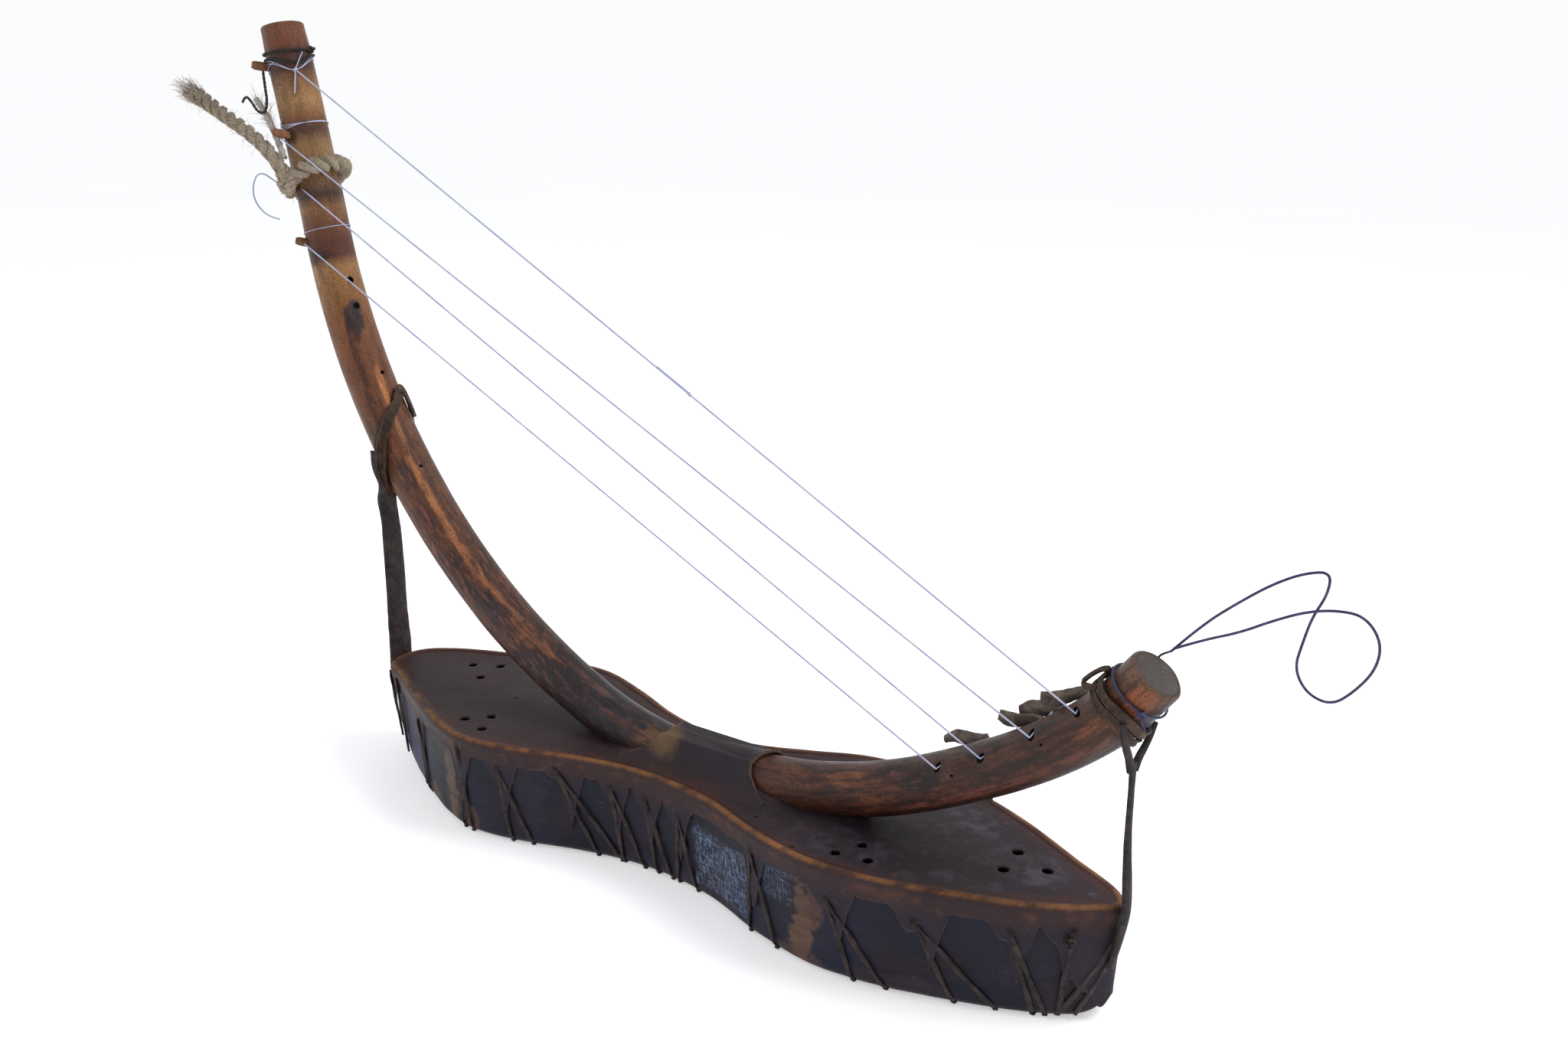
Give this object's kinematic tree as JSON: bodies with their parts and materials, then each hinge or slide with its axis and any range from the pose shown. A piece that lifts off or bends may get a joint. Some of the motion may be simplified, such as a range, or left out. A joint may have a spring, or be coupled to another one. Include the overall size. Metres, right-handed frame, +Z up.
{
  "type": "arched harp",
  "caption": "Arched bow harp: a bent stick threaded through the hide of a boat-shaped soundbox, strung between its two arms, with leather ties and a hanging loop.",
  "frame": {"origin": "on the ground under the middle of the soundbox's flat base", "axes": "+X along the soundbox towards the short arm, +Y across it away from the strings' side, +Z up"},
  "size_m": [0.6619, 0.1152, 0.4228],
  "materials": {
    "soundbox_wood": "worn dark blue paint over carved wood",
    "hide": "aged rawhide, worn at the rim",
    "bow_wood": "smoke-darkened, hand-polished branch wood",
    "strap_leather": "dark leather thong",
    "lace_leather": "narrow dark leather lacing",
    "jute": "twisted jute rope",
    "black_cord": "thin black cord",
    "string": "thin grey-blue string",
    "wire": "thin dark blue insulated wire",
    "toggle_leather": "rolled grey-green leather scrap",
    "peg_wood": "whittled peg wood"
  },
  "bodies": {
    "harp": {"soundbox": "soundbox_wood", "hide_soundboard": "hide", "bow": "bow_wood", "left_strap": "strap_leather", "left_strap_wrap": "strap_leather", "right_strap": "strap_leather", "right_strap_wrap": "strap_leather", "lacing_front": "lace_leather", "lacing_rear": "lace_leather", "lacing_base": "lace_leather", "lace_knot": "lace_leather", "neck_rope_ring": "jute", "neck_rope_tail": "jute", "neck_thin_tail": "jute", "neck_tie_cord": "black_cord", "tie_cord_tail": "black_cord", "string_tail": "string", "hanging_wire": "wire", "wire_ring": "wire", "wire_knot": "wire", "string_1": "string", "string_toggle_1": "toggle_leather", "string_2": "string", "string_toggle_2": "toggle_leather", "string_3": "string", "string_toggle_3": "toggle_leather", "string_4": "string", "string_toggle_4": "toggle_leather", "toggle_tongue": "toggle_leather", "string_winding_top": "string", "string_winding_upper": "string", "string_winding_lower": "string"},
    "peg_top": {"tuning_peg_top": "peg_wood"},
    "peg_upper": {"tuning_peg_upper": "peg_wood"},
    "peg_lower": {"tuning_peg_lower": "peg_wood"}
  },
  "joints": [
    {"name": "peg_top_turn", "type": "hinge", "parent": "harp", "child": "peg_top", "pos_m": [-0.2787, 0, 0.396], "axis": [-0.6027, -0.7836, 0.1507], "continuous": true},
    {"name": "peg_upper_turn", "type": "hinge", "parent": "harp", "child": "peg_upper", "pos_m": [-0.2702, 0, 0.36], "axis": [-0.0504, -0.9782, 0.2017], "continuous": true},
    {"name": "peg_lower_turn", "type": "hinge", "parent": "harp", "child": "peg_lower", "pos_m": [-0.258, 0, 0.301], "axis": [-0.5486, -0.798, 0.2494], "continuous": true}
  ]
}
